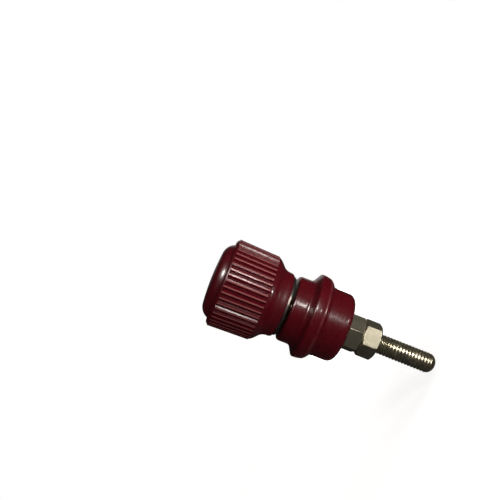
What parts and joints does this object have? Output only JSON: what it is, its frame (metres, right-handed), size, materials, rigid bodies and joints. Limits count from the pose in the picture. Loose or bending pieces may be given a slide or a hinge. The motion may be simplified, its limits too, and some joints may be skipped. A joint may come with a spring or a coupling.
{
  "type": "binding post battery terminal",
  "caption": "Insulated panel binding post with a domed cap, a ribbed clamping knob, flanged insulating bushes, hexagon nuts and a threaded stud for battery or supply leads.",
  "frame": {"origin": "centre of the flange's back face, where the front insulator lies on the panel", "axes": "+Z along the stud, out of the panel towards the cap"},
  "size_m": [0.0268, 0.0268, 0.0713],
  "materials": {
    "phenolic": "glossy compression moulded phenolic, dark red",
    "nickel_plate": "nickel plated brass, satin",
    "plated_steel": "nickel plated steel, slightly dull",
    "brass": "machined brass"
  },
  "bodies": {
    "post": {"stud": "plated_steel", "cap": "phenolic", "front_insulator": "phenolic", "rear_insulator": "phenolic", "clamp_nut": "plated_steel", "lug_nut": "plated_steel"},
    "presser": {"pressure_washer": "nickel_plate"},
    "knob": {"knob": "phenolic", "knob_insert": "brass"}
  },
  "joints": [
    {"name": "knob_rise", "type": "slide", "parent": "post", "child": "presser", "axis": [0, 0, 1], "range_m": [-0.0007, 0.003]},
    {"name": "knob_turn", "type": "hinge", "parent": "presser", "child": "knob", "pos_m": [0, 0, 0.0212], "axis": [0, 0, 1], "range_deg": [-252, 1080]}
  ],
  "couplings": [
    {"joint": "knob_rise", "follows": "knob_turn", "m_per_rad": 0.00015915}
  ]
}
